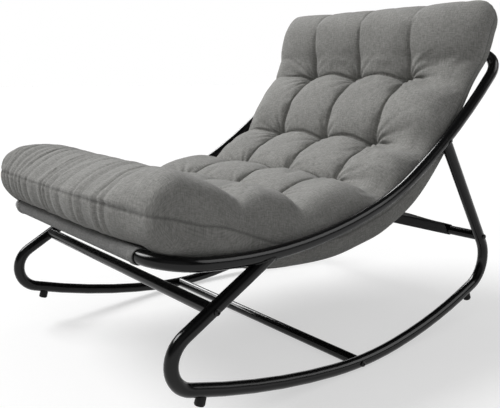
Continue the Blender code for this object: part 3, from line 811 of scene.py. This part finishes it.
def weld(name, base, rail, upper_end):
    """Bead along the coped end of a base tube, found from the points that lie against the rail."""
    rail_mesh = bmesh.new()
    rail_mesh.from_mesh(nodes[rail].data)
    tree = BVHTree.FromBMesh(rail_mesh)
    rail_mesh.free()
    near = [np.array(v.co) for v in nodes[base].data.vertices if tree.find_nearest(v.co)[3] < 0.0007]
    near = np.array(near)
    rear = near[:, 1] > 0.1
    rim = near[rear] if upper_end else near[~rear]
    centre = rim.mean(axis=0)
    flat = rim - centre
    axis = np.linalg.svd(flat)[2]
    u, w = flat @ axis[0], flat @ axis[1]
    turn = np.arctan2(w, u)
    reach = np.hypot(u, w)
    bins = np.floor((turn + math.pi) / (2.0 * math.pi) * 20.0).astype(int)
    outer = np.array([np.nonzero(bins == k)[0][np.argmax(reach[bins == k])] for k in np.unique(bins)])
    angles = np.linspace(-math.pi, math.pi, 48, endpoint=False)
    loop = [np.interp(angles, turn[outer], rim[outer, k], period=2.0 * math.pi) for k in range(3)]
    loop = np.stack(loop, axis=1)
    for _ in range(2):
        loop = 0.5 * loop + 0.25 * (np.roll(loop, 1, axis=0) + np.roll(loop, -1, axis=0))
    ahead = np.roll(loop, -1, axis=0) - loop
    loop = np.concatenate([loop + ahead * t for t in (0.0, 0.5)], axis=1).reshape(-1, 3)
    count = len(loop)
    points = []
    for k in range(count):
        run = normalized(loop[(k + 1) % count] - loop[k - 1])
        out = normalized(loop[k] - centre)
        side = normalized(np.cross(run, out))
        out = np.cross(side, run)
        radius = BEAD_R + 0.0003 * math.sin(1.9 * k) + 0.0002 * math.sin(0.7 * k + 1.0)
        for j in range(BEAD_SIDES):
            angle = 2.0 * math.pi * j / BEAD_SIDES
            points.append(loop[k] + radius * (math.cos(angle) * out + math.sin(angle) * side))
    quads = []
    for k in range(count):
        ring = BEAD_SIDES * k
        after = BEAD_SIDES * ((k + 1) % count)
        for j in range(BEAD_SIDES):
            turned = (j + 1) % BEAD_SIDES
            quads.append((ring + j, ring + turned, after + turned, after + j))
    return new_object(name, points, quads)


welds = []
for side in ("right", "left"):
    for place, upper_end in (("rear", True), ("front", False)):
        name = "weld_" + place + "_" + side
        welds.append(weld(name, "rocker_base_" + side, "seat_rail_" + side, upper_end))


# Materials
# Painted shade: near-black mixed into the cushion cloth along its seam, for the shade in the seam's crevice
SEAM_SHADE_COLOUR = (0.03, 0.03, 0.029, 1.0)
DUST_COLOUR = (0.10, 0.10, 0.10, 1.0)
SHARP_ANGLE = math.radians(38.0)


def new_material(name, colour, roughness):
    """Material with its node tree and its shader."""
    material = bpy.data.materials.new(name)
    material.use_nodes = True
    shader = material.node_tree.nodes["Principled BSDF"]
    shader.inputs["Base Color"].default_value = (*colour, 1.0)
    shader.inputs["Roughness"].default_value = roughness
    return material, material.node_tree, shader


def node(tree, kind, inputs=None, **settings):
    """New node; inputs are sockets to link or values to set."""
    made = tree.nodes.new(kind)
    for key, value in settings.items():
        setattr(made, key, value)
    for key, value in (inputs or {}).items():
        if isinstance(value, bpy.types.NodeSocket):
            tree.links.new(value, made.inputs[key])
        else:
            made.inputs[key].default_value = value
    return made


def maths(tree, operation, a, b=0.0):
    return node(tree, "ShaderNodeMath", {0: a, 1: b}, operation=operation).outputs[0]


def noise(tree, place, scale, detail=2.0):
    inputs = {"Vector": place, "Scale": scale, "Detail": detail}
    return node(tree, "ShaderNodeTexNoise", inputs).outputs["Fac"]


def mixed_colour(tree, share, a, b):
    return node(tree, "ShaderNodeMix", {0: share, 6: a, 7: b}, data_type="RGBA").outputs[2]


def slub(tree, place, scale):
    """Noise drawn out along one thread direction."""
    drawn = node(tree, "ShaderNodeMapping", {"Vector": place, "Scale": scale}).outputs[0]
    return noise(tree, drawn, 1.0)


def fabric(name, dark, light, pitch, seam=False):
    """Woven cloth: crossing threads, uneven yarn, faint large patches and a soft sheen."""
    material, tree, shader = new_material(name, light, 0.9)
    place = node(tree, "ShaderNodeTexCoord").outputs["UV"]
    parts = node(tree, "ShaderNodeSeparateXYZ", {0: place}).outputs
    warp = maths(tree, "SINE", maths(tree, "MULTIPLY", parts[0], math.pi / pitch))
    weft = maths(tree, "SINE", maths(tree, "MULTIPLY", parts[1], math.pi / pitch))
    over = maths(tree, "GREATER_THAN", maths(tree, "MULTIPLY", warp, weft))
    warp = maths(tree, "ABSOLUTE", warp)
    weft = maths(tree, "ABSOLUTE", weft)
    threads = node(tree, "ShaderNodeMix", {0: over, 2: warp, 3: weft}).outputs[0]
    long_slub = slub(tree, place, (60.0, 480.0, 1.0))
    cross_slub = slub(tree, place, (480.0, 60.0, 1.0))
    grain = noise(tree, place, 230.0, 3.0)
    patches = noise(tree, place, 9.0, 3.0)
    tone = maths(tree, "MULTIPLY", maths(tree, "ADD", long_slub, cross_slub), 0.34)
    tone = maths(tree, "ADD", tone, maths(tree, "MULTIPLY", grain, 0.30))
    tone = maths(tree, "ADD", tone, maths(tree, "MULTIPLY", patches, 0.18))
    tone = maths(tree, "ADD", tone, maths(tree, "MULTIPLY", threads, 0.16))
    ramp_node = node(tree, "ShaderNodeValToRGB", {0: tone})
    ramp_node.color_ramp.elements[0].position = 0.54
    ramp_node.color_ramp.elements[0].color = (*dark, 1.0)
    ramp_node.color_ramp.elements[1].position = 0.82
    ramp_node.color_ramp.elements[1].color = (*light, 1.0)
    colour = ramp_node.outputs[0]
    # Painted shade: the cloth is darkened along the seam line for the shade in the seam's crevice
    if seam:
        line = node(tree, "ShaderNodeAttribute", attribute_name="seam_line").outputs["Fac"]
        share = maths(tree, "MULTIPLY", line, 0.45)
        colour = mixed_colour(tree, share, colour, SEAM_SHADE_COLOUR)
    tree.links.new(colour, shader.inputs["Base Color"])
    rough = maths(tree, "ADD", maths(tree, "MULTIPLY", grain, 0.16), 0.80)
    tree.links.new(rough, shader.inputs["Roughness"])
    shader.inputs["Specular IOR Level"].default_value = 0.25
    shader.inputs["Sheen Weight"].default_value = 0.12
    shader.inputs["Sheen Roughness"].default_value = 0.5
    height = maths(tree, "ADD", maths(tree, "MULTIPLY", threads, 0.5), maths(tree, "MULTIPLY", grain, 0.7))
    bump = node(tree, "ShaderNodeBump", {"Strength": 0.30, "Distance": 0.0006, "Height": height})
    tree.links.new(bump.outputs[0], shader.inputs["Normal"])
    return material


def paint(name, colour, roughness, peel, specular=0.5, metallic=0.0):
    """Black coating with fine texture, uneven gloss and faint dust."""
    material, tree, shader = new_material(name, colour, roughness)
    place = node(tree, "ShaderNodeTexCoord").outputs["Object"]
    fine = noise(tree, place, peel, 2.0)
    wide = noise(tree, place, 14.0, 4.0)
    rough = maths(tree, "ADD", maths(tree, "MULTIPLY", wide, 0.16), roughness - 0.08)
    tree.links.new(rough, shader.inputs["Roughness"])
    dust = maths(tree, "MULTIPLY", maths(tree, "POWER", wide, 3.0), 0.04)
    mixed = mixed_colour(tree, dust, (*colour, 1.0), DUST_COLOUR)
    tree.links.new(mixed, shader.inputs["Base Color"])
    shader.inputs["Specular IOR Level"].default_value = specular
    shader.inputs["Metallic"].default_value = metallic
    bump = node(tree, "ShaderNodeBump", {"Strength": 0.05, "Distance": 0.0002, "Height": fine})
    tree.links.new(bump.outputs[0], shader.inputs["Normal"])
    return material


def smooth_edges():
    """Modifier nodes that shade tubes smooth and keep sharp corners."""
    tree = bpy.data.node_groups.new("smooth_edges", "GeometryNodeTree")
    tree.interface.new_socket("Geometry", in_out="INPUT", socket_type="NodeSocketGeometry")
    tree.interface.new_socket("Geometry", in_out="OUTPUT", socket_type="NodeSocketGeometry")
    start = tree.nodes.new("NodeGroupInput").outputs[0]
    joined = node(tree, "GeometryNodeMergeByDistance", {"Geometry": start, "Distance": 0.00001}).outputs[0]
    smooth = {"Geometry": joined, "Shade Smooth": True}
    faces = node(tree, "GeometryNodeSetShadeSmooth", smooth, domain="FACE").outputs[0]
    angle = node(tree, "GeometryNodeInputMeshEdgeAngle").outputs[0]
    sharp = node(tree, "FunctionNodeCompare", {0: angle, 1: SHARP_ANGLE}, operation="GREATER_THAN").outputs[0]
    creased = {"Geometry": faces, "Selection": sharp, "Shade Smooth": False}
    edges = node(tree, "GeometryNodeSetShadeSmooth", creased, domain="EDGE")
    finish_node = tree.nodes.new("NodeGroupOutput")
    tree.links.new(edges.outputs[0], finish_node.inputs[0])
    return tree


cushion_fabric = fabric("cushion_fabric", (0.160, 0.159, 0.151), (0.325, 0.322, 0.306), 0.0016, seam=True)
sling_fabric = fabric("sling_fabric", (0.110, 0.110, 0.108), (0.225, 0.224, 0.218), 0.0014)
# Painted shade: the strap's cloth gets the near-black it shows in the shade under the seat, far darker than
# the sling's cloth
strap_fabric = fabric("strap_fabric", (0.016, 0.016, 0.017), (0.040, 0.040, 0.041), 0.0014)
sling_thread_look = fabric("sling_thread", (0.090, 0.090, 0.088), (0.150, 0.150, 0.146), 0.0010)
# Painted shade: the strap's thread is as dark as the shaded strap
strap_thread_look = fabric("strap_thread", (0.020, 0.020, 0.021), (0.050, 0.050, 0.051), 0.0010)
frame_paint = paint("frame_paint", (0.0018, 0.0019, 0.0021), 0.19, 700.0, specular=0.28)
bolt_black = paint("bolt_black", (0.012, 0.012, 0.012), 0.42, 1500.0, metallic=0.4)
stop_rubber = paint("stop_rubber", (0.013, 0.013, 0.013), 0.78, 1100.0, specular=0.3)

shading = smooth_edges()
for name, obj in nodes.items():
    look = frame_paint
    if name.startswith("bolt_"):
        look = bolt_black
    if name.startswith("stop_"):
        look = stop_rubber
    obj.data.materials.clear()
    obj.data.materials.append(look)
    obj.modifiers.new("smooth_edges", "NODES").node_group = shading

dressed = [(cushion, cushion_fabric, "cushion_fabric"), (sling, sling_fabric, "sling_fabric"),
           (strap, strap_fabric, "strap_fabric"), (sling_thread, sling_thread_look, "sling_fabric"),
           (strap_thread, strap_thread_look, "strap_fabric")]
dressed += [(bead, frame_paint, "frame_paint") for bead in welds]
for obj, look, slot in dressed:
    obj.data.materials.append(look)
    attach(obj, "root")
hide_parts("cushion")
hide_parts("sling")
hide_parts("rear_strap")

# Floor, background and light
FLOOR_HALF = 40.0
FLOOR_SEEN = (0.50, 0.50, 0.50, 1.0)
FLOOR_UNSEEN = (0.42, 0.42, 0.42, 1.0)
FLOOR_GLOW = 0.54
SKY_LEVEL = 0.35
SKY_FADE = (0.08, 0.28)     # reflections darken between these heights of the sky
SKY_DARK = 0.08             # down to this level


def seen_rays(tree):
    """1 for rays that show a surface, and 1 for the camera's own rays."""
    path = node(tree, "ShaderNodeLightPath").outputs
    mirrored = maths(tree, "MAXIMUM", path["Is Glossy Ray"], path["Is Transmission Ray"])
    return maths(tree, "MAXIMUM", path["Is Camera Ray"], mirrored), path["Is Camera Ray"]


scene = bpy.context.scene
floor_corners = [(x * FLOOR_HALF, y * FLOOR_HALF, 0.0) for x, y in ((-1, -1), (1, -1), (1, 1), (-1, 1))]
floor = new_object("floor", floor_corners, [(0, 1, 2, 3)])
floor_look, tree, shader = new_material("floor", FLOOR_SEEN[:3], 0.95)
shader.inputs["Specular IOR Level"].default_value = 0.0
seen = seen_rays(tree)[0]
tone = mixed_colour(tree, seen, FLOOR_UNSEEN, FLOOR_SEEN)
tree.links.new(tone, shader.inputs["Base Color"])
shader.inputs["Emission Color"].default_value = (1.0, 1.0, 1.0, 1.0)
tree.links.new(maths(tree, "MULTIPLY", seen, FLOOR_GLOW), shader.inputs["Emission Strength"])
floor.data.materials.append(floor_look)

world = bpy.data.worlds.new("studio")
world.use_nodes = True
scene.world = world
tree = world.node_tree
seen, camera_ray = seen_rays(tree)
heading = node(tree, "ShaderNodeTexCoord").outputs["Generated"]
rise = node(tree, "ShaderNodeSeparateXYZ", {0: heading}).outputs[2]
fade = {0: rise, 1: SKY_FADE[0], 2: SKY_FADE[1], 3: 1.0, 4: SKY_DARK}
ceiling = node(tree, "ShaderNodeMapRange", fade).outputs[0]
level = node(tree, "ShaderNodeMix", {0: seen, 2: SKY_LEVEL, 3: ceiling}).outputs[0]
level = maths(tree, "MAXIMUM", level, camera_ray)
tree.nodes["Background"].inputs[0].default_value = (1.0, 1.0, 1.0, 1.0)
tree.links.new(level, tree.nodes["Background"].inputs[1])


def lamp(name, source, strength, spread):
    """Distant lamp shining from a direction; spread is the width of its disc in degrees."""
    light = bpy.data.lights.new(name, "SUN")
    light.energy = strength
    light.angle = math.radians(spread)
    obj = bpy.data.objects.new(name, light)
    obj.rotation_euler = Vector(source).to_track_quat("Z", "Y").to_euler()
    scene.collection.objects.link(obj)
    return obj


lamp("key", (-0.60, -0.36, 0.72), 2.65, 30.0)
lamp("fill", (0.60, -0.50, 0.50), 0.14, 60.0)
lamp("rim", (0.45, 0.62, 0.64), 0.8, 36.0).visible_diffuse = False
lamp("side", (-0.72, 0.26, 0.64), 2.4, 28.0).visible_diffuse = False

# Camera at the photograph's angle
CAMERA_PLACE = (1.12657, -0.95200, 0.60005)
CAMERA_LENS = 44.529
CAMERA_SHIFT = (-0.0013, -0.0078)
yaw = math.radians(50.2846)
pitch = math.radians(11.2152)
right = Vector((math.cos(yaw), math.sin(yaw), 0.0))
forward = Vector((-math.sin(yaw) * math.cos(pitch), math.cos(yaw) * math.cos(pitch), -math.sin(pitch)))
upward = right.cross(forward)
camera = bpy.data.objects.new("camera", bpy.data.cameras.new("camera"))
camera.data.lens = CAMERA_LENS
camera.data.sensor_width = 36.0
camera.data.shift_x = CAMERA_SHIFT[0]
camera.data.shift_y = CAMERA_SHIFT[1]
pose = Matrix((right, upward, -forward)).transposed().to_4x4()
pose.translation = CAMERA_PLACE
camera.matrix_world = pose
scene.collection.objects.link(camera)
scene.camera = camera
scene.view_settings.view_transform = "Standard"
